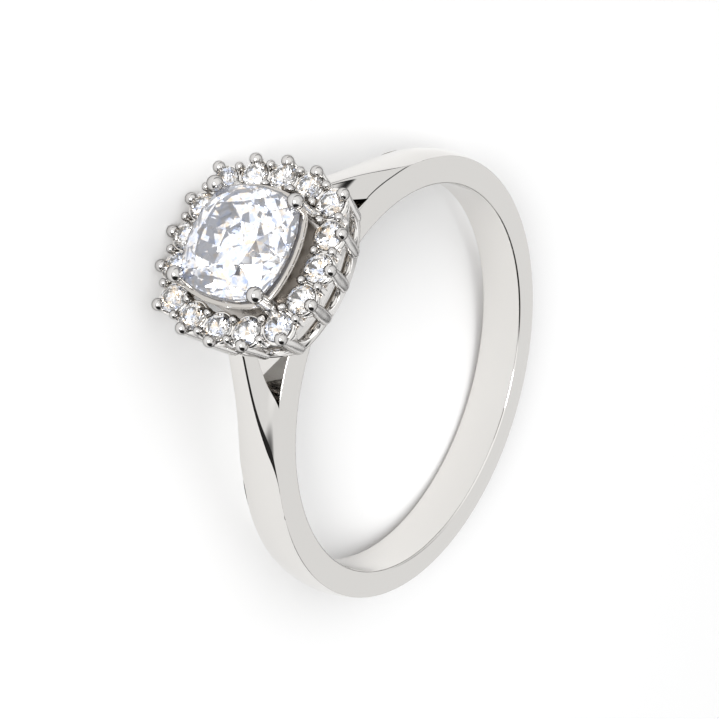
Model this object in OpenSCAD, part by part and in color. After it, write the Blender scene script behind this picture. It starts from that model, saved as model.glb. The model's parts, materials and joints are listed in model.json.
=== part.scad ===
// Halo ring: a plain finger band with split cathedral shoulders carries a cushion-shaped
// halo of sixteen round stones round one raised cushion-cut stone. All metal is soldered
// into one solid, and each stone is a solid of its own. Millimetres.
// Ring frame: X from the centre of the finger bore towards the head, Y across the fingers,
// Z along the finger. The last step lays the ring on its side on the plane Z = 0.

/* [Finger bore] */
// Diameter of the finger bore
bore_d = 16.5; // [15.5:0.1:18]
// Chamfer that eases both edges of the bore
bore_chamfer = 0.12; // [0.05:0.01:0.2]

/* [Band] */
// Width of the band at the back of the finger
band_base_w = 2.06; // [1.8:0.02:2.4]
// Width of the band under the head
band_head_w = 1.72; // [1.5:0.02:1.9]
// Thickness of the band at its side faces
band_t = 1.13; // [1:0.01:1.3]
// Rise of the crowned outer surface over the side faces
crown_rise = 0.17; // [0.1:0.01:0.25]

/* [Shoulders] */
// Angle from the head at which each straight arm leaves the band
arm_leave = 52; // [48:1:56]
// Width of an arm's top surface where it meets the gallery rail
arm_top_w = 0.78; // [0.6:0.02:1]
// Thickness of an arm at the gallery rail
arm_t = 0.64; // [0.56:0.02:0.8]
// Angle from the head at which the split between arm and band closes
split_tip = 27.5; // [26:0.5:30]

/* [Halo] */
// Half width of the loop of halo stones, at the middle of a side
loop_side = 3; // [2.9:0.05:3.2]
// Half width of the loop at a corner stone
loop_corner = 2.4; // [2.3:0.05:2.5]
// Girdle diameter of a halo stone
halo_stone_d = 1.1; // [1:0.02:1.14]
// Height of the halo stones' girdles over the centre of the bore
halo_h = 12.7; // [12.55:0.05:12.9]
// Diameter of the large claw bead outside each halo stone
claw_bead_d = 0.48; // [0.4:0.02:0.54]
// Diameter of the small shared beads between halo stones
small_bead_d = 0.34; // [0.3:0.02:0.38]

/* [Gallery] */
// Height of the gallery rail's lower face over the centre of the bore
rail_h = 11; // [10.95:0.05:11.1]
// Height of the gallery rail's section
rail_t = 0.38; // [0.3:0.02:0.5]

/* [Centre stone] */
// Width of the cushion stone at the middle of its sides
centre_w = 4.44; // [4.36:0.02:4.5]
// Width of the cushion stone across its rounded corners
centre_diag = 5.12; // [5.04:0.02:5.18]
// Height of the centre stone's girdle over the centre of the bore
centre_h = 13.5; // [13.4:0.05:13.65]
// Diameter of the four big claw beads
centre_bead_d = 0.62; // [0.5:0.02:0.7]

/* [Hidden] */
$fn = 48;
HALO_COUNT = 16;
HALO_NAMES = [for (i = [1 : HALO_COUNT]) str("halo_stone_", i < 10 ? "0" : "", i)];

// Space left between a stone and its seat
seat_gap = 0.02;

// Band radii: bore, side-face edge and crown. The bore is cut last, so what it cuts through
// starts bore_spare inside it.
bore_r = bore_d / 2;
bore_spare = 0.3;
edge_r = bore_r + band_t;
crown_r = edge_r + crown_rise;
// The side faces are planes that close in towards the head
taper = (band_base_w - band_head_w) / 2 / (2 * edge_r);
band_mid_half = (band_base_w + band_head_w) / 4;
function band_half(x) = band_mid_half - taper * x;
// The crown is an arc across the width
crown_arc_r = (pow(band_mid_half, 2) + pow(crown_rise, 2)) / (2 * crown_rise);
function crown_at(w) = crown_r - crown_arc_r + sqrt(pow(crown_arc_r, 2) - w * w);

// An arm's top is the line that leaves the crown circle at arm_leave and ends in the rail
arm_end_x = rail_h + rail_t * 0.4;
arm_end_y = (crown_r - arm_end_x * cos(arm_leave)) / sin(arm_leave);
arm_end_r = norm([arm_end_x, arm_end_y]);
arm_length = crown_r * tan(arm_leave - atan2(arm_end_y, arm_end_x)) + 1;
// Outer radius of the band under the head, and the angle to which it reaches into the arms
front_r = crown_r - 0.04;
front_reach = arm_leave - 14;
// Half width that the bevels leave at three radii: their lower edge, a knee and the arm's end
bevel_r = edge_r;
bevel_half = band_half(edge_r * cos(arm_leave));
bevel_knee_r = crown_r + 0.35;
bevel_knee_half = 0.66;
bevel_end_half = arm_top_w / 2 - 0.06;

// The loop of halo stones is four arcs, each about a centre behind the far side
loop_r = (pow(loop_side, 2) + 2 * pow(loop_corner, 2) - 2 * loop_side * loop_corner)
    / (2 * (loop_side - loop_corner));
loop_back = loop_r - loop_side;
loop_corner_angle = atan2(loop_corner, loop_corner + loop_back);
loop_step = loop_corner_angle / 2;
// Point at an offset outside the loop; s counts stones from a corner, whole or half
function side_of(s) = floor(s / 4);
function arc_angle(s) = (s - 4 * side_of(s)) * loop_step - loop_corner_angle;
function turned(p, a) = [p[0] * cos(a) - p[1] * sin(a), p[0] * sin(a) + p[1] * cos(a)];
function is_corner(s) = s == 4 * side_of(s);
function loop_normal(s) = 90 * side_of(s) + (is_corner(s) ? -45 : arc_angle(s));
function loop_point(s, out = 0) =
    let (
        a = arc_angle(s),
        p = turned([loop_r * cos(a) - loop_back, loop_r * sin(a)], 90 * side_of(s)),
        n = loop_normal(s)
    ) p + out * [cos(n), sin(n)];

// Round brilliant proportions, as shares of the girdle radius
table_share = 0.56;
crown_share = 0.32;
star_share = 0.8;
girdle_share = 0.04;
pavilion_share = 0.93;
lower_share = 0.24;
halo_stone_r = halo_stone_d / 2;
// The centre stone has one more row of facets under its girdle. The rows lie at these shares
// of the girdle radius and of the pavilion's depth.
crushed_share = 0.68;
crushed_drop = 0.36;
centre_lower_share = 0.36;
centre_lower_drop = 0.72;

// Cushion outline of the centre stone: four bowed sides whose corners a circle rounds
centre_half = centre_w / 2;
centre_corner_r = centre_diag / 2;
centre_bow_r = 4.6;
centre_crown = 0.78;
centre_girdle = 0.1;
centre_pavilion = 2.3;
function cushion_r(a, half, bow, corner) =
    let (
        t = abs(a - 90 * round(a / 90)),
        b = bow - half,
        side = sqrt(pow(bow, 2) - pow(b * sin(t), 2)) - b * cos(t)
    ) min(side, corner);

// Claws and beads
claw_bead_r = claw_bead_d / 2;
small_bead_r = small_bead_d / 2;
centre_bead_r = centre_bead_d / 2;
claw_out = 0.58;
claw_h = halo_h + 0.1;
small_out = 0.38;
small_h = halo_h + 0.08;
centre_claw = 1.81;
centre_claw_h = centre_h + 0.34;

// Heights of the halo's seats and of the centre basket
seat_t = 0.5;
plate_t = 0.2;
seat_h = halo_h - seat_t;
cup_r = 0.66;
basket_h = 10.15;
basket_r = 0.95;
basket_t = 0.36;
wall_h = 11.3;
wall_t = 0.24;
post_foot_r = 2.42;
collar_h = centre_h - 0.42;
collar_t = 0.24;

// Rest pose: the lowest claw beads and the back edge of the band touch the plane Z = 0
low_bead = [claw_h, -(loop_side + claw_out)];
back_half = band_half(-edge_r);
back_edge = [-crown_at(back_half), -back_half];
reach = low_bead - back_edge;
tilt = asin(claw_bead_r / norm(reach)) - atan2(reach[1], reach[0]);
lift = -(back_edge[0] * sin(tilt) + back_edge[1] * cos(tilt));
front_x = (centre_h + centre_crown) * cos(tilt);
rear_x = -crown_r * cos(tilt);
slide = -(front_x + rear_x) / 2;

module lay_down() {
    translate([slide, 0, lift])
        rotate([0, -tilt, 0])
            children();
}

// Turns a plan drawn in X and Y with its height along Z so that the height is the ring's X
module upright() {
    rotate([90, 0, 90])
        children();
}

// Section of the band in radius and width: flat sides under a crowned outer surface
module band_section() {
    intersection() {
        translate([bore_r - bore_spare, -band_base_w])
            square([band_t + 1, 2 * band_base_w]);
        translate([crown_r - crown_arc_r, 0])
            circle(crown_arc_r, $fn = 96);
    }
}

// The crowned band from one arm round the back to the other
module back_band() {
    rotate([0, 0, arm_leave])
        rotate_extrude(angle = 360 - 2 * arm_leave)
            band_section();
}

// The plain stretch of the band under the head, whose ends lie inside the arms
module front_band() {
    rotate([0, 0, -front_reach])
        rotate_extrude(angle = 2 * front_reach)
            translate([bore_r - bore_spare, -band_base_w])
                square([crown_r - bore_r + bore_spare, 2 * band_base_w]);
}

// One straight arm that carries the band's section on along its tangent
module arm() {
    rotate([0, 0, arm_leave])
        rotate([90, 0, 0])
            linear_extrude(height = arm_length)
                band_section();
}

// What the bevels leave of the arms: their sides lean in with the height over the band
module arm_bevels() {
    rotate_extrude()
        polygon([
            [0, -band_base_w], [bevel_r, -band_base_w],
            [bevel_r, -bevel_half], [bevel_knee_r, -bevel_knee_half], [arm_end_r + 1, -bevel_end_half],
            [arm_end_r + 1, bevel_end_half], [bevel_knee_r, bevel_knee_half], [bevel_r, bevel_half],
            [bevel_r, band_base_w], [0, band_base_w]
        ]);
}

// The space between the two side faces, which close in towards the head
module between_sides() {
    back = -2 * crown_r;
    front = 2 * crown_r;
    rotate([90, 0, 0])
        linear_extrude(height = 4 * crown_r, center = true)
            polygon([
                [back, -band_half(back)], [front, -band_half(front)],
                [front, band_half(front)], [back, band_half(back)]
            ]);
}

// The open space between the band and the two arms, right through along the finger, and
// what the arms' ends would have above the rail
module shoulder_split() {
    tip = front_r * [cos(split_tip), sin(split_tip)];
    mouth_y = (crown_r - arm_t - arm_end_x * cos(arm_leave)) / sin(arm_leave);
    above = arm_end_x + 4;
    linear_extrude(height = 2 * band_base_w, center = true) {
        difference() {
            polygon([
                [0, 0], tip, [arm_end_x, mouth_y], [above, mouth_y],
                [above, -mouth_y], [arm_end_x, -mouth_y], [tip[0], -tip[1]]
            ]);
            circle(front_r);
        }
        translate([arm_end_x, -2 * arm_end_y])
            square([4, 4 * arm_end_y]);
    }
}

// The bore with its chamfers. Their cones stand square to the tilted side faces, and start
// and end well clear of the edges that they cut.
module finger_bore() {
    spare = 0.4;
    cylinder(h = 2 * band_base_w, r = bore_r, center = true);
    for (side = [0, 1])
        mirror([0, 0, side])
            rotate([0, atan(taper), 0])
                translate([0, 0, band_half(0) - spare])
                    cylinder(
                        h = 2 * spare,
                        r1 = bore_r + bore_chamfer - spare,
                        r2 = bore_r + bore_chamfer + spare
                    );
}

module band() {
    difference() {
        intersection() {
            union() {
                back_band();
                intersection() {
                    union() {
                        front_band();
                        arm();
                        mirror([0, 1, 0])
                            arm();
                    }
                    arm_bevels();
                }
            }
            between_sides();
        }
        shoulder_split();
        finger_bore();
    }
}

// A flat cushion: four bowed sides and rounded corners
module cushion(half, bow, corner) {
    intersection() {
        translate([half - bow, 0]) circle(bow);
        translate([bow - half, 0]) circle(bow);
        translate([0, half - bow]) circle(bow);
        translate([0, bow - half]) circle(bow);
        circle(corner);
    }
}

module cushion_ring(half, bow, corner, wall, h) {
    linear_extrude(height = h)
        difference() {
            cushion(half, bow, corner);
            cushion(half - wall, bow - wall, corner - wall);
        }
}

// A round rod between two points, with a radius at each end
module rod(from, to, r1, r2) {
    way = to - from;
    translate(from)
        rotate([0, acos(way[2] / norm(way)), atan2(way[1], way[0])])
            cylinder(h = norm(way), r1 = r1, r2 = r2);
}

function at(p, h) = [p[0], p[1], h];

// Lower rail on which all claw stems stand
module gallery_rail() {
    translate([0, 0, rail_h])
        cushion_ring(loop_side + 0.4, 6, 3.84, 0.46, rail_t);
}

// Plate under the halo stones
module halo_plate() {
    translate([0, 0, seat_h])
        cushion_ring(loop_side + 0.36, 5.6, 3.8, 0.72, plate_t);
}

// One stone's cup with its outer claw
module halo_seat(s) {
    p = loop_point(s);
    translate(at(p, seat_h))
        cylinder(h = seat_t - 0.02, r = cup_r);
    foot = at(loop_point(s, 0.19), rail_h + rail_t * 0.3);
    tip = at(loop_point(s, claw_out), claw_h);
    rod(foot, tip, 0.19, 0.2);
    translate(tip)
        sphere(claw_bead_r);
}

// The two small beads at the gap after one stone, on short posts
module gap_beads(s) {
    for (out = [-small_out, small_out]) {
        p = loop_point(s + 0.5, out);
        translate(at(p, seat_h + 0.05))
            cylinder(h = small_h - seat_h - 0.05, r = small_bead_r * 0.82);
        translate(at(p, small_h))
            sphere(small_bead_r);
    }
}

// One corner claw of the centre stone: a post up the corner of the basket's wall, the bar that
// ties it to the halo's corner, and the stem that draws in to the base ring
module centre_claw_post(i) {
    a = 45 + 90 * i;
    out = [cos(a), sin(a)];
    tip = at(centre_claw * sqrt(2) * out, centre_claw_h);
    foot = at(post_foot_r * out, wall_h + 0.12);
    rod(foot, tip, 0.25, 0.28);
    translate(tip)
        sphere(centre_bead_r);
    translate(foot)
        sphere(0.25);
    rod(at(basket_r * out, basket_h + basket_t / 2), foot, 0.22, 0.24);
    rod(at(2.4 * out, halo_h - 0.14), at(3.1 * out, seat_h + 0.2), 0.24, 0.22);
}

module centre_basket() {
    translate([0, 0, basket_h])
        difference() {
            cylinder(h = basket_t, r = basket_r + 0.22);
            translate([0, 0, -1])
                cylinder(h = basket_t + 2, r = basket_r - 0.22);
        }
    translate([0, 0, collar_h])
        cushion_ring(centre_half + 0.13, 4.8, 2.66, 0.4, collar_t);
    translate([0, 0, wall_h])
        cushion_ring(centre_half - 0.02, 4.5, 2.5, wall_t, collar_h + 0.1 - wall_h);
    for (i = [0 : 3])
        centre_claw_post(i);
}

// Room for a round stone: its outline turned about its axis, with the seat gap added
module round_stone_room() {
    r = halo_stone_r + seat_gap;
    g = halo_stone_r * girdle_share / 2 + seat_gap;
    rotate_extrude()
        polygon([
            [0, -halo_stone_r * pavilion_share - 2 * seat_gap],
            [r, -g], [r, g],
            [halo_stone_r * table_share + seat_gap, halo_stone_r * crown_share + seat_gap],
            [0, halo_stone_r * crown_share + seat_gap]
        ]);
}

module setting() {
    difference() {
        union() {
            gallery_rail();
            halo_plate();
            for (s = [0 : HALO_COUNT - 1])
                union() {
                    halo_seat(s);
                    gap_beads(s);
                }
            centre_basket();
        }
        for (s = [0 : HALO_COUNT - 1])
            translate(at(loop_point(s), halo_h)) {
                round_stone_room();
                translate([0, 0, -1])
                    cylinder(h = 1, r = 0.22);
            }
        translate([0, 0, centre_h])
            centre_gem(seat_gap);
    }
}

module band_and_setting() {
    color("gainsboro")
        lay_down()
            union() {
                band();
                upright()
                    setting();
            }
}

// Brilliant-cut gem on its girdle plane. The outline gives the girdle radius at an angle. Table,
// star and lower facets keep their shares of it, and grow moves every face outwards.
function ring_points(outline, n, first, share, h, grow) =
    [for (k = [0 : n - 1])
        let (a = first + k * 360 / n, r = outline(a) * share + grow)
        [r * cos(a), r * sin(a), h]];

// Corner numbers of each ring of points, in the order of the list below
STAR = 8;
TOP = 16;
LOW = 32;
DEEP = 48;
MID = 56;

function crown_facets() =
    concat(
        [for (k = [1 : 6]) [0, k + 1, k]],
        [for (k = [0 : 7])
            let (k2 = (k + 1) % 8, k0 = (k + 7) % 8, g = 2 * k, g1 = g + 1, g2 = (g + 2) % 16)
            each [
                [k, k2, STAR + k],
                [k, STAR + k, TOP + g],
                [k, TOP + g, STAR + k0],
                [STAR + k, TOP + g1, TOP + g],
                [STAR + k, TOP + g2, TOP + g1],
                [TOP + g, TOP + g1, LOW + g1],
                [TOP + g, LOW + g1, LOW + g],
                [TOP + g1, TOP + g2, LOW + g2],
                [TOP + g1, LOW + g2, LOW + g1]
            ]]
    );

// Eight kites from the girdle to the point, with a pair of lower facets between two of them
function plain_pavilion(culet) =
    [for (k = [0 : 7])
        let (k0 = (k + 7) % 8, g = 2 * k, g1 = g + 1, g2 = (g + 2) % 16)
        each [
            [LOW + g, LOW + g1, DEEP + k],
            [LOW + g1, LOW + g2, DEEP + k],
            [LOW + g, DEEP + k, culet],
            [LOW + g, culet, DEEP + k0]
        ]];

// Three rows of facets, the upper two set between each other's corners
function crushed_pavilion(culet) =
    [for (k = [0 : 7])
        let (k2 = (k + 1) % 8, g = 2 * k, g1 = g + 1, g2 = (g + 2) % 16)
        each [
            [LOW + g, LOW + g1, MID + g],
            [LOW + g1, MID + g1, MID + g],
            [LOW + g1, LOW + g2, MID + g1],
            [LOW + g2, MID + g2, MID + g1],
            [MID + g, MID + g1, DEEP + k],
            [MID + g1, MID + g2, DEEP + k],
            [MID + g2, DEEP + k2, DEEP + k],
            [DEEP + k, DEEP + k2, culet]
        ]];

module brilliant(outline, crown, girdle, pavilion, lower, lower_drop, crushed = false, grow = 0) {
    half = girdle / 2 + grow;
    depth = pavilion - girdle / 2;
    star_drop = (star_share * cos(22.5) - table_share) / (1 - table_share);
    star_h = half + (crown - girdle / 2) * (1 - star_drop);
    crushed_ring = ring_points(outline, 16, 11.25, crushed_share, -half - depth * crushed_drop, grow);
    points = concat(
        ring_points(outline, 8, 0, table_share, crown + grow, grow),
        ring_points(outline, 8, 22.5, star_share, star_h, grow),
        ring_points(outline, 16, 0, 1, half, grow),
        ring_points(outline, 16, 0, 1, -half, grow),
        ring_points(outline, 8, 22.5, lower, -half - depth * lower_drop, grow),
        crushed ? crushed_ring : [],
        [[0, 0, -pavilion - 2 * grow]]
    );
    culet = len(points) - 1;
    polyhedron(
        points,
        concat(crown_facets(), crushed ? crushed_pavilion(culet) : plain_pavilion(culet))
    );
}

round_outline = function (a) halo_stone_r;
cushion_outline = function (a) cushion_r(a, centre_half, centre_bow_r, centre_corner_r);

module halo_gem() {
    brilliant(
        round_outline,
        halo_stone_r * crown_share,
        halo_stone_r * girdle_share,
        halo_stone_r * pavilion_share,
        lower_share,
        1 - lower_share * cos(22.5)
    );
}

module centre_gem(grow = 0) {
    brilliant(
        cushion_outline,
        centre_crown,
        centre_girdle,
        centre_pavilion,
        centre_lower_share,
        centre_lower_drop,
        crushed = true,
        grow = grow
    );
}

module centre_stone() {
    color("aliceblue")
        lay_down()
            upright()
                translate([0, 0, centre_h])
                    centre_gem();
}

module halo_stone(s) {
    color("aliceblue")
        lay_down()
            upright()
                translate(at(loop_point(s), halo_h))
                    rotate([0, 0, loop_normal(s)])
                        halo_gem();
}

band_and_setting();
centre_stone();
for (i = [0 : HALO_COUNT - 1])
    halo_stone(i);
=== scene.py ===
"""Looks of a silver halo ring that lies on its side.

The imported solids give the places: every surface below is worked out in millimetres in the ring's
own axes (x from the centre of the finger bore to the head, y across the fingers, z along the
finger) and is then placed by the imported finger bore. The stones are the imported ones.
"""

import json

import bmesh
import bpy
import numpy as np
from mathutils import Matrix, Vector


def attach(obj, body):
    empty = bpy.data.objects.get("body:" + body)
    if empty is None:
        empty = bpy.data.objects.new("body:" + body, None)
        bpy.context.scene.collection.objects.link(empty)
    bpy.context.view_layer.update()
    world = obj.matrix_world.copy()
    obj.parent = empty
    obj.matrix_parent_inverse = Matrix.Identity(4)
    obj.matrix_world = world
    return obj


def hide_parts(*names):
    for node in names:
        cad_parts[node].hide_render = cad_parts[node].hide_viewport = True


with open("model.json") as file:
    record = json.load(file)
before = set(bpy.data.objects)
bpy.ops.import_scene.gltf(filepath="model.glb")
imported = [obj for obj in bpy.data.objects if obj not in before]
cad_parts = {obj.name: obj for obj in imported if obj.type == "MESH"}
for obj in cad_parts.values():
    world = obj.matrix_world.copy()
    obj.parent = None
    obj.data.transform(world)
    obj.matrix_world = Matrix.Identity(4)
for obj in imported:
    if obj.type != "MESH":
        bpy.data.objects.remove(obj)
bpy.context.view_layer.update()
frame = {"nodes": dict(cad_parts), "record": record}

MM = 0.001

# Band, as in the part's source
BORE_R = 8.25
CROWN_R = 9.55
CROWN_RISE = 0.17
BASE_HALF = 1.03
HEAD_HALF = 0.86
EDGE_R = 9.38
ARM_LEAVE = 52.0
SPLIT_TIP = 27.5
SPLIT_R = 9.51
ARM_END_X = 11.152
ARM_T = 0.64

# Finer forms of the band: where the bevel's crease lies, how fast the bevel draws in, and how far
# edges are eased
CREASE_LOW_R = 9.33
CREASE_MID_R = 9.42
BEVEL_REACH = 0.505
ARM_TOP_HALF = 0.36
BORE_EASE = 0.11
SPLIT_EASE = 0.06

# Halo, as in the part's source
HALO_COUNT = 16
LOOP_SIDE = 3.0
LOOP_CORNER = 2.4
HALO_H = 12.7
CLAW_BALL_R = 0.24
BEAD_R = 0.17
BEAD_OUT = 0.38
RAIL_H = 11.0
RAIL_T = 0.38

# Centre stone and its basket, as in the part's source
CENTRE_H = 13.5
CENTRE_HALF = 2.22
CENTRE_CLAW = 1.81
CENTRE_BALL_R = 0.31
POST_R = 2.42
WALL_H = 11.3
BASKET_H = 10.33
BASKET_R = 0.95


def unit(v):
    return v / np.linalg.norm(v, axis=-1, keepdims=True)


def smooth_step(t):
    """0 below 0, 1 above 1, and a cubic ease between."""
    t = np.clip(t, 0, 1)
    return t * t * (3 - 2 * t)


bore = next(m for m in frame["record"]["mounts"] if m["name"] == "finger_bore")
BORE_AT = np.array(bore["pos_m"], float)
ALONG_FINGER = unit(np.array(bore["axis"], float))
ACROSS = np.array([0.0, 1.0, 0.0])
TO_HEAD = np.cross(ACROSS, ALONG_FINGER)
RING_AXES = np.stack([TO_HEAD, ACROSS, ALONG_FINGER])


def placed(points):
    """Ring millimetres to metres in the shared frame."""
    return BORE_AT + np.asarray(points) @ RING_AXES * MM


def upright(points):
    """Head plan (u, v) and height h to ring axes: the height runs along x."""
    return points[..., [2, 0, 1]]


def grid_faces(rows, cols, close_rows=False):
    """Four-cornered faces of a grid of points, row by row. Each row is a closed loop, and
    close_rows joins the last row to the first."""
    i = np.arange(rows if close_rows else rows - 1)[:, None]
    j = np.arange(cols)[None, :]
    i, j = np.broadcast_arrays(i, j)
    up, on = (i + 1) % rows, (j + 1) % cols
    return np.stack([i * cols + j, i * cols + on, up * cols + on, up * cols + j], -1).reshape(-1, 4)


def joined(parts):
    """One list of points and one of faces from several grids."""
    starts = np.cumsum([0] + [len(p) for p, _ in parts])
    points = np.concatenate([p for p, _ in parts])
    faces = np.concatenate([f + s for (_, f), s in zip(parts, starts)])
    return points, faces


def make_piece(name, parts, material, sharp=35.0):
    """A mesh object in the shared frame from grids in ring millimetres. Points that meet are
    welded, faces are turned outwards and edges over the sharp angle, in degrees, stay crisp."""
    points, faces = joined(parts)
    mesh = bpy.data.meshes.new(name)
    mesh.from_pydata(placed(points).tolist(), [], faces.tolist())
    clean_mesh(mesh)
    mesh.polygons.foreach_set("use_smooth", np.ones(len(mesh.polygons), bool))
    mesh.set_sharp_from_angle(angle=np.radians(sharp))
    mesh.materials.append(material)
    piece = bpy.data.objects.new(name, mesh)
    bpy.context.scene.collection.objects.link(piece)
    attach(piece, "root")
    return piece


def clean_mesh(mesh):
    shape = bmesh.new()
    shape.from_mesh(mesh)
    bmesh.ops.remove_doubles(shape, verts=shape.verts, dist=2e-7)
    bmesh.ops.dissolve_degenerate(shape, edges=shape.edges, dist=1e-7)
    bmesh.ops.recalc_face_normals(shape, faces=shape.faces)
    shape.to_mesh(mesh)
    shape.free()
    mesh.update()


# Colours


def linear(hex_colour, alpha=1.0):
    """An sRGB hex colour as linear red, green and blue, with alpha."""
    value = np.array([int(hex_colour[i : i + 2], 16) for i in (1, 3, 5)]) / 255
    value = np.where(value <= 0.04045, value / 12.92, ((value + 0.055) / 1.055) ** 2.4)
    return (*value.tolist(), alpha)


def add_node(tree, kind, settings=None, links=None):
    """Adds one shader node. settings are attributes, or input values by name or number; links
    join an input to another node's output."""
    node = tree.nodes.new(kind)
    for key, value in (settings or {}).items():
        if isinstance(key, str) and hasattr(node, key):
            setattr(node, key, value)
        else:
            node.inputs[key].default_value = value
    for key, (source, output) in (links or {}).items():
        tree.links.new(source.outputs[output], node.inputs[key])
    return node


def new_material(name):
    material = bpy.data.materials.new(name)
    material.use_nodes = True
    material.node_tree.nodes.clear()
    return material, material.node_tree


def silver(name, bright, shaded, rough, edge="#ffffff"):
    """Sterling silver, with the finest buffing haze varying the gloss. Where surfaces face each
    other
    the colour falls off to a warm grey: painted shade in the recesses, the darker the less open a
    point is. The last colour is the metal's tint at a grazing view: a dark one paints a dark rim
    round a ball or a claw, which stands in for the reflection of dark surroundings."""
    material, tree = new_material(name)
    place = add_node(tree, "ShaderNodeTexCoord")
    haze = add_node(
        tree, "ShaderNodeTexNoise", {"Scale": 1400.0, "Detail": 3.0}, {"Vector": (place, "Object")}
    )
    gloss = add_node(
        tree,
        "ShaderNodeMapRange",
        {"From Min": 0.3, "From Max": 0.7, "To Min": rough * 0.7, "To Max": rough * 1.3},
        {"Value": (haze, "Fac")},
    )
    # Painted shade: the ambient occlusion turns the colour towards the shaded one in recesses
    open_sky = add_node(tree, "ShaderNodeAmbientOcclusion", {"Distance": 1.1 * MM, "samples": 6})
    reach = add_node(
        tree,
        "ShaderNodeMapRange",
        {"From Min": 0.0, "From Max": 0.55, "interpolation_type": "SMOOTHSTEP"},
        {"Value": (open_sky, "AO")},
    )
    colour = add_node(
        tree,
        "ShaderNodeMix",
        {"data_type": "RGBA", 6: linear(shaded), 7: linear(bright)},
        {"Factor": (reach, "Result")},
    )
    # Specular Tint takes the edge colour: a dark one is a painted dark rim, standing in for the
    # reflection of dark surroundings
    metal = add_node(
        tree,
        "ShaderNodeBsdfPrincipled",
        {"Metallic": 1.0, "Specular Tint": linear(edge)},
        {"Base Color": (colour, 2), "Roughness": (gloss, "Result")},
    )
    add_node(tree, "ShaderNodeOutputMaterial", None, {"Surface": (metal, "BSDF")})
    return material


def cubic_zirconia(name, glow, glow_strength):
    """Cubic zirconia: clear, cut with flat facets, with a high index that throws the light back.
    Its
    coloured flashes are painted: faint blue and amber tints in the colour stand in for the fire
    that the stone splits from the light, seen through many facets at once. A trace of glow is
    painted
    light too: it lifts the facets that show dark metal, and stands for light that bounces inside
    for longer than the render follows it."""
    material, tree = new_material(name)
    place = add_node(tree, "ShaderNodeTexCoord")
    # Painted fire: the noise picks where the colour turns faint blue or amber
    painted_fire_patches = add_node(
        tree, "ShaderNodeTexNoise", {"Scale": 3600.0, "Detail": 1.0}, {"Vector": (place, "Object")}
    )
    cool = add_node(
        tree,
        "ShaderNodeMapRange",
        {"From Min": 0.36, "From Max": 0.43},
        {"Value": (painted_fire_patches, "Fac")},
    )
    warm = add_node(
        tree,
        "ShaderNodeMapRange",
        {"From Min": 0.58, "From Max": 0.65},
        {"Value": (painted_fire_patches, "Fac")},
    )
    blue = add_node(
        tree,
        "ShaderNodeMix",
        {"data_type": "RGBA", 6: linear("#bfd2ff"), 7: linear("#ffffff")},
        {"Factor": (cool, "Result")},
    )
    amber = add_node(
        tree,
        "ShaderNodeMix",
        {"data_type": "RGBA", 7: linear("#ffdfb8")},
        {"Factor": (warm, "Result"), 6: (blue, 2)},
    )
    gem = add_node(
        tree,
        "ShaderNodeBsdfPrincipled",
        {
            "Roughness": 0.0,
            "IOR": 2.42,
            "Transmission Weight": 1.0,
            "Emission Color": linear(glow),
            "Emission Strength": glow_strength,
        },
        {"Base Color": (amber, 2)},
    )
    add_node(tree, "ShaderNodeOutputMaterial", None, {"Surface": (gem, "BSDF")})
    return material


SILVER = silver("polished sterling silver", "#dfddda", "#8f867d", 0.06)
# The satin silver's grey edge tint is a painted darker rim on the prongs and posts
SATIN_SILVER = silver("satin-finished sterling silver", "#f0eeec", "#a89f96", 0.22, "#c0c0c0")
# The ball silver's darker colour and near-black edge tint are painted shade: a dark body and dark
# rims that stand in for reflections of dark surroundings
BALL_SILVER_PAINTED_DARK = silver("burnished sterling silver, painted darker with dark rims", "#cfcdcb", "#a09d99", 0.04, "#202020")
# The as-cast silver's dark brown-grey colours are painted shade for the recesses of the basket and
# seat rail; its roughness is the cast finish
SHADED_SILVER = silver("sterling silver left as cast, painted dark for shade", "#b9b2aa", "#6f665e", 0.3)
# The seat silver's darker colours are painted shade for the collar's recess
SEAT_SILVER = silver("sterling silver filed to a seat, painted dark for shade", "#c6c2bd", "#6a625b", 0.2)
BRIGHT_CUT = silver("bright-cut sterling silver", "#efedea", "#d8d4cf", 0.12)
# Both gems carry a painted glow that lifts their dark facets; the centre stone's is bluish
CENTRE_GEM = cubic_zirconia("clear cubic zirconia, cushion cut", "#e9eeff", 0.045)
HALO_GEM = cubic_zirconia("clear cubic zirconia, brilliant cut", "#fffaf2", 0.012)


# Shank: the band with its two arms


def side_half(r, angle):
    """Half width of the band at a radius and angle: the side faces are planes that close in to
    the head."""
    middle = (BASE_HALF + HEAD_HALF) / 2
    taper = (BASE_HALF - HEAD_HALF) / 2 / EDGE_R
    return middle - taper * r * np.cos(np.radians(angle))


def top_radius(angle):
    """Radius of the crown's ridge: a circle, then the arm's tangent, then the plane inside the
    rail."""
    a = np.abs(angle)
    arm = CROWN_R / np.cos(np.radians(np.minimum(np.abs(ARM_LEAVE - a), 80)))
    radius = np.where(a >= ARM_LEAVE, CROWN_R, arm)
    return np.minimum(radius, ARM_END_X / np.maximum(np.cos(np.radians(a)), 0.3))


def crease_radius(angle):
    """Radius of the line where the bevel starts: it rises from the band's edge to the split's
    tip."""
    a = np.abs(angle)
    arm = CREASE_MID_R + (SPLIT_R - CREASE_MID_R) * smooth_step((40 - a) / (40 - SPLIT_TIP))
    return CREASE_LOW_R + (arm - CREASE_LOW_R) * smooth_step((72 - a) / 24)


def bevel_half(r, angle):
    """Half width under the bevel: it leaves the side face flush and draws in to the arm's narrow
    top, as 1 / (1 + t squared) of the height over the crease."""
    crease = crease_radius(angle)
    start = side_half(crease, angle)
    t = np.maximum(r - crease, 0) / BEVEL_REACH
    drawn_in = ARM_TOP_HALF + (start - ARM_TOP_HALF) / (1 + t * t)
    return np.where(r > crease, drawn_in, side_half(r, angle))


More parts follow.
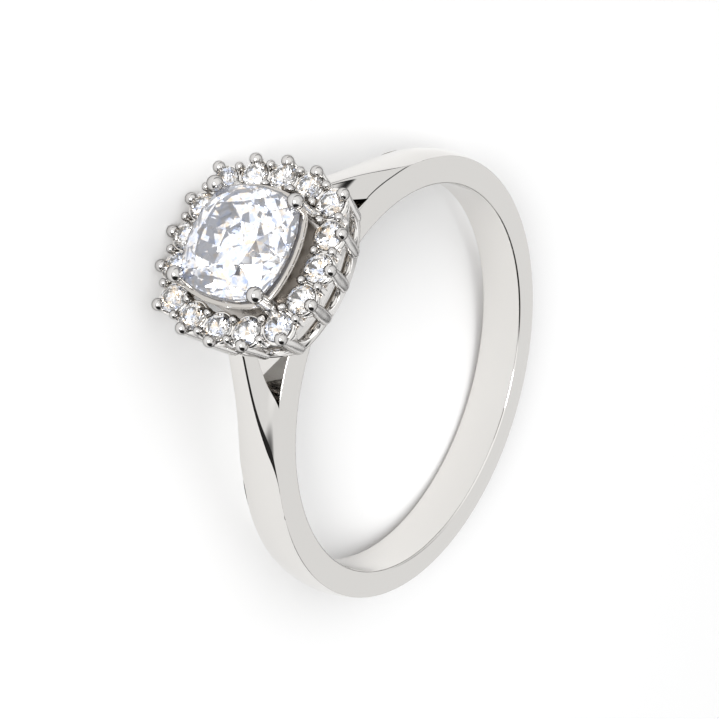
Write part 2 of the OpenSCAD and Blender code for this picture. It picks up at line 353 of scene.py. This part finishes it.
def crown_radius(w, angle):
    """Radius of the outer surface at a distance w from the middle: a shallow arch over the
    width."""
    drop = CROWN_RISE * (w / ((BASE_HALF + HEAD_HALF) / 2)) ** 2
    return top_radius(angle) - drop


def top_edge(angle):
    """Where the bevel meets the crown, found by stepping between the two."""
    w = np.full_like(angle, 0.8)
    for _ in range(12):
        w = 0.5 * w + 0.5 * bevel_half(crown_radius(w, angle), angle)
    return crown_radius(w, angle), w


def corner_curve(before, corner, after, steps):
    """Rounds a corner with a quadratic curve between two points. All are (stations, 2)."""
    t = np.linspace(0, 1, steps)[None, :, None]
    b, c, a = before[:, None], corner[:, None], after[:, None]
    return (1 - t) ** 2 * b + 2 * t * (1 - t) * c + t * t * a


def between(start, end, shares):
    """Points at given shares of the way from start to end. Both are (stations, 2)."""
    t = np.asarray(shares)[None, :, None]
    return start[:, None] * (1 - t) + end[:, None] * t


def rz(r, z):
    return np.stack(np.broadcast_arrays(r, z), -1)


def lower_half(angle, rim, rim_round):
    """Half section from the middle of the bore's wall round its eased edge and up the side to
    rim, a radius for each station. rim_round is how far the rim's own corner is rounded."""
    wall = rz(np.full_like(angle, BORE_R), np.zeros_like(angle))
    corner = rz(wall[:, 0], side_half(BORE_R, angle))
    before = rz(corner[:, 0], corner[:, 1] - BORE_EASE)
    after = rz(corner[:, 0] + BORE_EASE, side_half(BORE_R + BORE_EASE, angle))
    end = rz(rim - rim_round, side_half(rim - rim_round, angle))
    return np.concatenate(
        [
            between(wall, before, (0, 0.35, 0.7, 0.95)),
            corner_curve(before, corner, after, 7),
            between(after, end, (0.04, 0.2, 0.5, 0.8, 0.96, 1.0)),
        ],
        1,
    )


def upper_half(angle, rim, rim_round):
    """Half section from rim up the bevel, round the top edge and over the crown to the ridge."""
    edge_r, edge_w = top_edge(angle)
    ease = np.clip((edge_r - rim) * 0.3, 0, 0.1)
    start = rim + rim_round
    climb = np.array([0, 0.02, 0.06, 0.12, 0.2, 0.3, 0.42, 0.55, 0.7, 0.85, 0.96, 1.0])
    r = start[:, None] + (edge_r - ease - start)[:, None] * climb
    bevel = rz(r, bevel_half(r, angle[:, None]))
    corner = rz(edge_r, edge_w)
    inside = edge_w - ease * 1.2
    after = rz(crown_radius(inside, angle), inside)
    w = inside[:, None] * np.array([0.97, 0.88, 0.75, 0.6, 0.45, 0.3, 0.15, 0])
    crown = rz(crown_radius(w, angle[:, None]), w)
    return np.concatenate([bevel, corner_curve(bevel[:, -1], corner, after, 7)[:, 1:], crown], 1)


def both_sides(half):
    """A half section and its mirror image, as one loop without the shared middle points."""
    return np.concatenate([half, (half * [1, -1])[:, -2:0:-1]], 1)


def turned_grid(loop, angle):
    """Stands each section loop, in radius and width, on its angle round the bore."""
    a = np.radians(angle)[:, None]
    points = np.stack([loop[..., 0] * np.cos(a), loop[..., 0] * np.sin(a), loop[..., 1]], -1)
    rows, cols = loop.shape[:2]
    return points.reshape(-1, 3), grid_faces(rows, cols)


def shank():
    """The band from one split's tip round the back to the other, the bar under the head, and the
    two arms. The bar and the arms start with the very sections that the band ends with."""
    ease_in = 24 * (1 - np.cos(np.linspace(0, np.pi / 2, 24)))
    back = np.concatenate(
        [SPLIT_TIP + ease_in, np.linspace(SPLIT_TIP + 24, 360 - SPLIT_TIP - 24, 240)[1:-1],
         360 - SPLIT_TIP - ease_in[::-1]]
    )
    folded = np.where(back > 180, back - 360, back)
    crease = crease_radius(folded)
    none = np.zeros_like(folded)
    low, up = lower_half(folded, crease, none), upper_half(folded, crease, none)
    parts = [turned_grid(both_sides(np.concatenate([low, up[:, 1:]], 1)), back)]

    bar = SPLIT_TIP * np.sin(np.linspace(-np.pi / 2, np.pi / 2, 72))
    round_off = np.minimum(SPLIT_EASE, 0.1 * np.radians(SPLIT_TIP - np.abs(bar)) * SPLIT_R)
    rim = np.full_like(bar, SPLIT_R)
    low = lower_half(bar, rim, round_off)
    corner = rz(rim, side_half(rim, bar))
    inward = rz(rim, corner[:, 1] - round_off)
    middle = rz(rim, np.zeros_like(bar))
    eased = corner_curve(low[:, -1], corner, inward, 6)[:, 1:]
    top = between(inward, middle, (0.04, 0.3, 0.65, 1))
    parts.append(turned_grid(both_sides(np.concatenate([low, eased, top], 1)), bar))

    leave = np.radians(ARM_LEAVE)
    mouth_y = (CROWN_R - ARM_T - ARM_END_X * np.cos(leave)) / np.sin(leave)
    mouth_angle = np.degrees(np.arctan2(mouth_y, ARM_END_X))
    tip = SPLIT_R * np.array([np.cos(np.radians(SPLIT_TIP)), np.sin(np.radians(SPLIT_TIP))])
    way = np.array([ARM_END_X, mouth_y]) - tip
    way_on = 1 - np.cos(np.linspace(0, np.pi / 2, 48))
    arm = SPLIT_TIP + (mouth_angle - SPLIT_TIP) * way_on
    a = np.radians(arm)
    under = (tip[0] * way[1] - tip[1] * way[0]) / (np.cos(a) * way[1] - np.sin(a) * way[0])
    round_off = np.minimum(SPLIT_EASE, 0.12 * (under - SPLIT_R))
    round_off = np.minimum(round_off, 0.3 * (top_edge(arm)[0] - under))
    round_off = np.maximum(round_off, 0)
    up = upper_half(arm, under, round_off)
    corner = rz(under, bevel_half(under, arm))
    inward = rz(under, corner[:, 1] - round_off)
    middle = rz(under, np.zeros_like(arm))
    low = between(middle, inward, (0, 0.35, 0.7, 0.96))
    eased = corner_curve(inward, corner, up[:, 0], 6)[:, :-1]
    points, faces = turned_grid(both_sides(np.concatenate([low, eased, up], 1)), arm)
    parts.append((points, faces))
    parts.append((points * [1, -1, 1], faces[:, ::-1]))
    return parts


# Head: surfaces in plan (u, v) and height h


def cushion_radius(angle, half, bow, corner, soft=0.12):
    """Radius of a cushion outline: the nearer of a bowed side and the corner circle, eased."""
    t = np.abs(angle - np.pi / 2 * np.round(angle / (np.pi / 2)))
    back = bow - half
    side = np.sqrt(bow**2 - (back * np.sin(t)) ** 2) - back * np.cos(t)
    gap = np.maximum(soft - np.abs(side - corner), 0) / soft
    return np.minimum(side, corner) - gap * gap * soft / 4


def cushion_rail(half, bow, corner, section, steps=192):
    """A closed section, as outward distance and height, carried round a cushion outline."""
    angle = np.linspace(0, 2 * np.pi, steps, endpoint=False)
    radius = cushion_radius(angle, half, bow, corner)
    path = np.stack([radius * np.cos(angle), radius * np.sin(angle)], -1)
    along = unit(np.roll(path, -1, 0) - np.roll(path, 1, 0))
    outward = np.stack([along[:, 1], -along[:, 0]], -1)
    flat = path[:, None] + section[None, :, :1] * outward[:, None]
    high = np.broadcast_to(section[None, :, 1:], (steps, len(section), 1))
    points = np.concatenate([flat, high], -1)
    return upright(points).reshape(-1, 3), grid_faces(steps, len(section), True)


def oval(width, height, out, high, sides=20, square=2.6):
    """A rounded section about (out, high): a superellipse of a given squareness."""
    t = np.linspace(0, 2 * np.pi, sides, endpoint=False)
    c, s = np.cos(t), np.sin(t)
    x = np.sign(c) * np.abs(c) ** (2 / square) * width / 2
    y = np.sign(s) * np.abs(s) ** (2 / square) * height / 2
    return np.stack([out + x, high + y], -1)


# The loop of halo stones: four arcs, each through two corner stones and the middle of a side
LOOP_R = (LOOP_SIDE**2 + 2 * LOOP_CORNER**2 - 2 * LOOP_SIDE * LOOP_CORNER) / (
    2 * (LOOP_SIDE - LOOP_CORNER)
)
LOOP_BACK = LOOP_R - LOOP_SIDE
LOOP_STEP = np.arctan2(LOOP_CORNER, LOOP_CORNER + LOOP_BACK) / 2


def loop_place(s, out):
    """Plan point outside the loop of halo stones and its outward direction. s counts stones from
    a corner; the direction turns to the diagonal there."""
    s = np.asarray(s, float)
    side = np.floor(s / 4)
    a = (s - 4 * side) * LOOP_STEP - 2 * LOOP_STEP
    turn = side * np.pi / 2
    x, y = LOOP_R * np.cos(a) - LOOP_BACK, LOOP_R * np.sin(a)
    point = np.stack([x * np.cos(turn) - y * np.sin(turn), x * np.sin(turn) + y * np.cos(turn)], -1)
    at_corner = smooth_step(1 - (2 * LOOP_STEP - np.abs(a)) / (0.35 * LOOP_STEP))
    facing = turn + a + np.sign(a) * (np.pi / 4 - 2 * LOOP_STEP) * at_corner
    outward = np.stack([np.cos(facing), np.sin(facing)], -1)
    return point + np.asarray(out)[..., None] * outward, outward


def rod(path, wide, deep, outward, sides=24):
    """An oval rod carried along a curve of plan-and-height points. wide is its half width across
    outward, deep the half width the other way; where both are 0 the rod closes in a pole."""
    along = unit(np.gradient(path, axis=0))
    across = np.array([-outward[1], outward[0], 0.0])
    face = unit(np.cross(along, across))
    across = np.cross(face, along)
    t = np.linspace(0, 2 * np.pi, sides, endpoint=False)
    ring = np.cos(t)[None, :, None] * (wide[:, None] * across)[:, None]
    ring = ring + np.sin(t)[None, :, None] * (deep[:, None] * face)[:, None]
    return upright(path[:, None] + ring).reshape(-1, 3), grid_faces(len(path), sides)


def bar(start, end, r, outward, steps=14):
    """A straight bar with rounded ends."""
    share = (1 - np.cos(np.linspace(0, np.pi, steps))) / 2
    path = start + (end - start) * share[:, None]
    radius = r * np.clip(1 - np.abs(2 * share - 1) ** 6, 0, 1) ** 0.5
    return rod(path, radius, radius, outward)


def prong(foot, shoulder, tip, outward, wide, deep, neck, steps=30, sides=24):
    """A prong bowed from foot over shoulder to tip (a quadratic curve), with a rounded foot. Its
    half width and half depth ease to the neck."""
    u = (1 - np.cos(np.linspace(0, np.pi, steps))) / 2
    curve = u[:, None]
    path = (1 - curve) ** 2 * foot + 2 * curve * (1 - curve) * shoulder + curve**2 * tip
    rounded = np.sqrt(np.clip(1 - (1 - u / 0.14) ** 2, 0, 1) * (u < 0.14) + (u >= 0.14))
    slim = smooth_step(2 * u - 1)
    wide = (wide + (neck - wide) * slim) * rounded
    deep = (deep + (neck - deep) * slim) * rounded
    return rod(path, wide, deep, outward, sides)


def ball(centre, r, axis):
    """A ball, as a rod whose half width is the cosine of its place along an axis."""
    turn = np.linspace(-np.pi / 2, np.pi / 2, 17)
    path = centre + unit(axis) * r * np.sin(turn)[:, None]
    return rod(path, r * np.cos(turn), r * np.cos(turn), np.array([1.0, 0.0]))


def at_height(plan, h):
    return np.append(plan, h)


def halo_claws():
    """One prong up the gallery's wall outside each halo stone, and the ball on its end, which laps
    over the stone's edge."""
    prongs, balls = [], []
    for s in range(HALO_COUNT):
        foot, outward = loop_place(s, 0.3)
        shoulder, _ = loop_place(s, 0.5)
        tip, _ = loop_place(s, 0.58)
        foot, shoulder = at_height(foot, RAIL_H + 0.06), at_height(shoulder, HALO_H - 0.8)
        tip = at_height(tip, HALO_H + 0.1)
        prongs.append(prong(foot, shoulder, tip, outward, 0.25, 0.17, 0.2))
        balls.append(ball(tip, CLAW_BALL_R, tip - shoulder))
    return prongs, balls


def shared_beads():
    """Two small beads at each gap between halo stones, one outside and one inside the loop, each
    on a short post."""
    posts, balls = [], []
    for s in range(HALO_COUNT):
        for out in (BEAD_OUT, -BEAD_OUT):
            plan, outward = loop_place(s + 0.5, out)
            foot, tip = at_height(plan, HALO_H - 0.45), at_height(plan, HALO_H + 0.08)
            posts.append(prong(foot, (foot + tip) / 2, tip, outward, 0.16, 0.16, 0.125, 14, 14))
            balls.append(ball(tip, BEAD_R, tip - foot))
    return posts, balls


def halo_seats():
    """A cup under each halo stone, turned about the stone's axis: an open cone with a thin rim."""
    profile = np.array(
        [
            [0.565, -0.035], [0.6, -0.03], [0.635, -0.05], [0.65, -0.1], [0.645, -0.2],
            [0.6, -0.36], [0.56, -0.47], [0.5, -0.5], [0.36, -0.5], [0.31, -0.47],
            [0.32, -0.42], [0.45, -0.24], [0.54, -0.09],
        ]
    )
    parts = []
    for s in range(HALO_COUNT):
        plan, _ = loop_place(s, 0.0)
        parts.append(turned_profile(profile + [0, HALO_H], plan, 40))
    return parts


def turned_profile(profile, plan=(0.0, 0.0), sides=64):
    """A closed profile of radius and height turned round a point of the plan."""
    t = np.linspace(0, 2 * np.pi, sides, endpoint=False)
    ring = np.stack([np.cos(t), np.sin(t)], -1)
    flat = np.asarray(plan) + profile[None, :, :1] * ring[:, None]
    high = np.broadcast_to(profile[None, :, 1:], (sides, len(profile), 1))
    points = upright(np.concatenate([flat, high], -1)).reshape(-1, 3)
    return points, grid_faces(sides, len(profile), True)


def gallery_rail():
    """The rounded rail on which the claws stand."""
    return [cushion_rail(LOOP_SIDE + 0.17, 5.77, 3.61, oval(0.42, RAIL_T, 0, RAIL_H + RAIL_T / 2))]


def gallery_wall():
    """The pierced wall between rail and stones. Each bay is a plate with a window in it that is
    round below: points run from the bay's frame to the window's edge on the outer face, through
    the wall, and back to the frame on the inner face."""
    low, top = RAIL_H + 0.05, HALO_H - 0.28
    stand, lean, thick, sides = 0.38, 0.09, 0.16, 48
    turn = np.arange(sides) * 2 * np.pi / sides
    c, s = np.cos(turn), np.sin(turn)
    longest = np.maximum(np.abs(c), np.abs(s))
    power = np.where(s < 0, 2.2, 3.4)
    reach = (np.abs(c) ** power + np.abs(s) ** power) ** (-1 / power)
    border = np.stack([c, s], -1) / longest[:, None]
    window = np.stack([0.69 * c * reach, 0.6 * s * reach - 0.01], -1)
    share = np.array([0, 0.4, 0.75, 0.93, 1, 1, 0.93, 0.5, 0])[:, None, None]
    depth = np.array([0, 0, 0, 0, 0.03, thick - 0.03, thick, thick, thick])[:, None]
    along, high = np.moveaxis(border * (1 - share) + window * share, -1, 0)
    h = (low + top) / 2 + (top - low) / 2 * high
    out = stand + lean * (h - RAIL_H - 0.1) - depth
    side = np.abs(c) >= longest - 1e-9
    faces = grid_faces(len(share), sides, True)
    inner_side = np.concatenate(
        [np.zeros((len(share) - 1) * sides, bool), side & np.roll(side, -1)]
    )
    bays = []
    for bay in range(HALO_COUNT):
        plan, _ = loop_place(bay + 0.5 + 0.4999999 * along, out)
        points = upright(np.concatenate([plan, h[..., None]], -1)).reshape(-1, 3)
        bays.append((points, faces[~inner_side]))
    return bays


def seat_rail():
    """A fine rail that ties the cups together from below, inside the stones' points."""
    return [cushion_rail(LOOP_SIDE - 0.38, 4.86, 3.06, oval(0.2, 0.18, 0, HALO_H - 0.4))]


def corners():
    """Outward directions of the head's four corners."""
    a = np.radians(45 + 90 * np.arange(4))
    return np.stack([np.cos(a), np.sin(a)], -1)


def centre_claws():
    """Four heavy claws up the corners of the basket, each with the bar that ties it to the
    halo."""
    prongs, balls = [], []
    for out in corners():
        foot = at_height(POST_R * out, WALL_H + 0.05)
        tip = at_height(CENTRE_CLAW * np.sqrt(2) * out, CENTRE_H + 0.34)
        prongs.append(prong(foot, 0.5 * foot + 0.5 * tip, tip, out, 0.28, 0.28, 0.26))
        start, end = at_height(POST_R * out, HALO_H + 0.36), at_height(2.84 * out, HALO_H - 0.38)
        prongs.append(bar(start, end, 0.28, out))
        balls.append(ball(tip, CENTRE_BALL_R, tip - foot))
    return prongs, balls


def basket():
    """The wall under the collar, its small base ring and the stems that draw in to it."""
    tall = CENTRE_H - 0.42 - WALL_H
    wall = oval(0.22, tall, -0.12, WALL_H + tall / 2, sides=28, square=7)
    parts = [
        cushion_rail(CENTRE_HALF - 0.02, 4.5, 2.5, wall),
        turned_profile(oval(0.44, 0.36, BASKET_R, BASKET_H)),
    ]
    for out in corners():
        start, end = at_height(BASKET_R * out, BASKET_H), at_height(POST_R * out, WALL_H + 0.12)
        parts.append(bar(start, end, 0.23, out))
    return parts


def collar():
    """The grooved collar on which the centre stone sits: two fine rails with a groove between."""
    groove = np.array(
        [
            [-0.4, -0.02], [-0.14, 0.0], [-0.04, -0.01], [0.0, -0.04], [0.0, -0.08],
            [-0.04, -0.105], [-0.04, -0.125], [0.0, -0.145], [0.01, -0.17], [0.0, -0.21],
            [-0.05, -0.24], [-0.3, -0.24], [-0.4, -0.2],
        ]
    )
    return [cushion_rail(CENTRE_HALF + 0.13, 4.8, 2.66, groove + [0, CENTRE_H - 0.18])]


halo_prongs, halo_balls = halo_claws()
bead_posts, beads = shared_beads()
centre_prongs, centre_balls = centre_claws()
metal = [
    make_piece("shank", shank(), SILVER),
    make_piece("gallery_rail", gallery_rail(), SILVER),
    make_piece("gallery_wall", gallery_wall(), SATIN_SILVER),
    make_piece("seat_rail", seat_rail(), SHADED_SILVER),
    make_piece("halo_seats", halo_seats(), BRIGHT_CUT),
    make_piece("halo_prongs", halo_prongs, SATIN_SILVER),
    make_piece("bead_posts", bead_posts, SATIN_SILVER),
    make_piece("centre_prongs", centre_prongs, SATIN_SILVER),
    make_piece("claw_balls", halo_balls + centre_balls + beads, BALL_SILVER_PAINTED_DARK),
    make_piece("collar", collar(), SEAT_SILVER),
    make_piece("basket", basket(), SHADED_SILVER),
]
for piece in metal:
    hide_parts("band_and_setting")

for name, node in frame["nodes"].items():
    if name != "band_and_setting":
        node.data.materials.clear()
        node.data.materials.append(CENTRE_GEM if name == "centre_stone" else HALO_GEM)


# Stage: floor, light and camera


# Panels and cards in the tent: azimuth from +X, height over the floor, inner and outer radius of
# the soft edge, all in degrees, and brightness
TENT_PATCHES = (
    (-10, 50, 38, 56, 1.2),
    (103, 24, 34, 44, 0.025),
    (212, 38, 3, 9, 0.02),
)


def floor():
    """A plain pale floor, far larger than the view."""
    size = 3.0
    mesh = bpy.data.meshes.new("floor")
    square = [(-size, -size, 0), (size, -size, 0), (size, size, 0), (-size, size, 0)]
    mesh.from_pydata(square, [], [(0, 1, 2, 3)])
    material, tree = new_material("white paper sweep")
    paper = add_node(
        tree, "ShaderNodeBsdfPrincipled", {"Base Color": linear("#fbfbfb"), "Roughness": 0.9}
    )
    add_node(tree, "ShaderNodeOutputMaterial", None, {"Surface": (paper, "BSDF")})
    mesh.materials.append(material)
    piece = bpy.data.objects.new("floor", mesh)
    bpy.context.scene.collection.objects.link(piece)


def softbox(name, at, size, power, aim=(0, 0, 0.004)):
    lamp = bpy.data.lights.new(name, "AREA")
    lamp.shape = "RECTANGLE"
    lamp.size, lamp.size_y = size
    lamp.energy = power
    piece = bpy.data.objects.new(name, lamp)
    piece.location = at
    piece.rotation_euler = (Vector(aim) - Vector(at)).to_track_quat("-Z", "Y").to_euler()
    bpy.context.scene.collection.objects.link(piece)


def direction(azimuth, elevation):
    """Unit vector of a compass angle from +X and a height over the floor, both in degrees."""
    a, e = np.radians([azimuth, elevation])
    return (np.cos(e) * np.cos(a), np.cos(e) * np.sin(a), np.sin(e))


def studio():
    """A light tent: pale walls that darken to the floor's edge, a bright panel overhead, and dark
    cards that give the mirror-bright metal its dark lines. A key light draws the soft shadow."""
    world = bpy.data.worlds.new("light tent")
    world.use_nodes = True
    tree = world.node_tree
    tree.nodes.clear()
    look = add_node(tree, "ShaderNodeTexCoord")
    height = add_node(tree, "ShaderNodeSeparateXYZ", None, {"Vector": (look, "Generated")})
    wall = add_node(
        tree,
        "ShaderNodeMapRange",
        {"From Min": 0.07, "From Max": 0.23, "To Min": 0.025, "To Max": 0.92,
         "interpolation_type": "SMOOTHSTEP"},
        {"Value": (height, "Z")},
    )
    front = add_node(
        tree,
        "ShaderNodeMapRange",
        {"From Min": 0.65, "From Max": 0.9, "To Max": 0.8, "interpolation_type": "SMOOTHSTEP"},
        {"Value": (height, "X")},
    )
    both = {0: (wall, "Result"), 1: (front, "Result")}
    light = add_node(tree, "ShaderNodeMath", {"operation": "MAXIMUM"}, both)
    for azimuth, elevation, inner, outer, level in TENT_PATCHES:
        facing = add_node(
            tree, "ShaderNodeVectorMath", {"operation": "DOT_PRODUCT"}, {0: (look, "Generated")}
        )
        facing.inputs[1].default_value = direction(azimuth, elevation)
        share = add_node(
            tree,
            "ShaderNodeMapRange",
            {"From Min": np.cos(np.radians(outer)), "From Max": np.cos(np.radians(inner)),
             "interpolation_type": "SMOOTHSTEP"},
            {"Value": (facing, "Value")},
        )
        light = add_node(
            tree, "ShaderNodeMix", {"B": level}, {"Factor": (share, 0), "A": (light, 0)}
        )
    glow = add_node(tree, "ShaderNodeBackground", None, {"Color": (light, 0)})
    add_node(tree, "ShaderNodeOutputWorld", None, {"Surface": (glow, "Background")})
    bpy.context.scene.world = world
    softbox("key softbox", (0.2, 0.09, 0.13), (0.09, 0.08), 0.32)


CAMERA_AT = np.array([59.73, 13.49, 36.27])
CAMERA_LOOK = np.array([-0.826, -0.189, -0.531])
IMAGE_RIGHT = np.array([-0.438, -0.378, 0.816])
IMAGE_SIDE = 719
FOCAL_PIXELS = 1700


def camera():
    """The photograph's view of the ring, in ring millimetres: its place, its line of sight and
    the direction that runs to the right across the picture."""
    look = unit(CAMERA_LOOK) @ RING_AXES
    right = unit(IMAGE_RIGHT - IMAGE_RIGHT @ unit(CAMERA_LOOK) * unit(CAMERA_LOOK)) @ RING_AXES
    up = np.cross(right, look)
    lens = bpy.data.cameras.new("camera")
    lens.sensor_width = 36
    lens.lens = FOCAL_PIXELS / IMAGE_SIDE * lens.sensor_width
    lens.clip_start = 0.001
    lens.clip_end = 20
    piece = bpy.data.objects.new("camera", lens)
    turn = Matrix(np.stack([right, up, -look], 1).tolist()).to_4x4()
    piece.matrix_world = Matrix.Translation(Vector(placed(CAMERA_AT))) @ turn
    bpy.context.scene.collection.objects.link(piece)
    bpy.context.scene.camera = piece


floor()
studio()
camera()
bpy.context.scene.view_settings.view_transform = "Standard"
